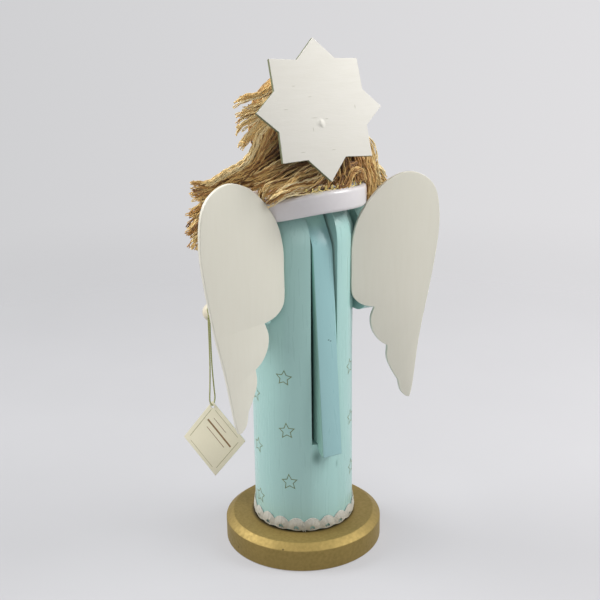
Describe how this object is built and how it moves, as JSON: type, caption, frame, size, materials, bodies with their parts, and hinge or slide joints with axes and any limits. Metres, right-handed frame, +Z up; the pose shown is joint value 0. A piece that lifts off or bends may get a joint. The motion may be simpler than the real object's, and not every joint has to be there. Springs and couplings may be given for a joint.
{
  "type": "angel nutcracker",
  "caption": "Standing angel nutcracker doll of painted wood with plywood wings and star, yarn hair, and a back lever that opens its jaw.",
  "frame": {"origin": "centre of the base's flat underside", "axes": "+Z up the turned body, the angel faces -Y, its left side is +X, the lever is at its back on +Y"},
  "size_m": [0.1742, 0.1247, 0.3547],
  "materials": {
    "gold_paint": "gold bronze paint, satin",
    "robe_paint": "turquoise paint, satin, with small gold outline stars",
    "lever_paint": "turquoise paint, satin",
    "cream_paint": "cream paint on plywood, eggshell",
    "star_paint": "off-white paint on plywood, brushed",
    "white_gloss": "white gloss paint",
    "skin_paint": "flesh paint, satin",
    "bare_wood": "plain dowel",
    "yarn": "two-ply wool yarn",
    "gold_thread": "metallic looped braid",
    "lace_cotton": "cotton lace",
    "steel": "plain",
    "card": "uncoated",
    "olive_thread": "twisted thread"
  },
  "bodies": {
    "figure": {"base": "gold_paint", "base_dowel": "bare_wood", "body": "robe_paint", "lace_hem": "lace_cotton", "pivot_pin": "steel", "head": "skin_paint", "neck_dowel_left": "bare_wood", "neck_dowel_right": "bare_wood", "nose": "skin_paint", "hair_cap": "yarn", "hair_back": "yarn", "hair_left": "yarn", "hair_right": "yarn", "collar": "white_gloss", "gold_braid": "gold_thread", "halo_star": "star_paint", "star_peg": "star_paint", "wing_left": "cream_paint", "wing_right": "cream_paint", "wing_dowel_left": "bare_wood", "wing_dowel_right": "bare_wood", "sleeve_left": "robe_paint", "sleeve_right": "robe_paint", "hand_left": "skin_paint", "hand_right": "skin_paint", "shoulder_dowel_left": "bare_wood", "shoulder_dowel_right": "bare_wood", "wrist_loop": "olive_thread"},
    "lever": {"lever": "lever_paint", "jaw": "skin_paint"},
    "tag": {"tag_string": "olive_thread", "tag_card": "card"}
  },
  "joints": [
    {"name": "lever_hinge", "type": "hinge", "parent": "figure", "child": "lever", "pos_m": [0, 0.002, 0.258], "axis": [1, 0, 0], "range_deg": [0, 26]},
    {"name": "tag_swing", "type": "hinge", "parent": "figure", "child": "tag", "pos_m": [0.0504, -0.0425, 0.1614], "axis": [0, -1, 0], "range_deg": [-3, 25]}
  ]
}
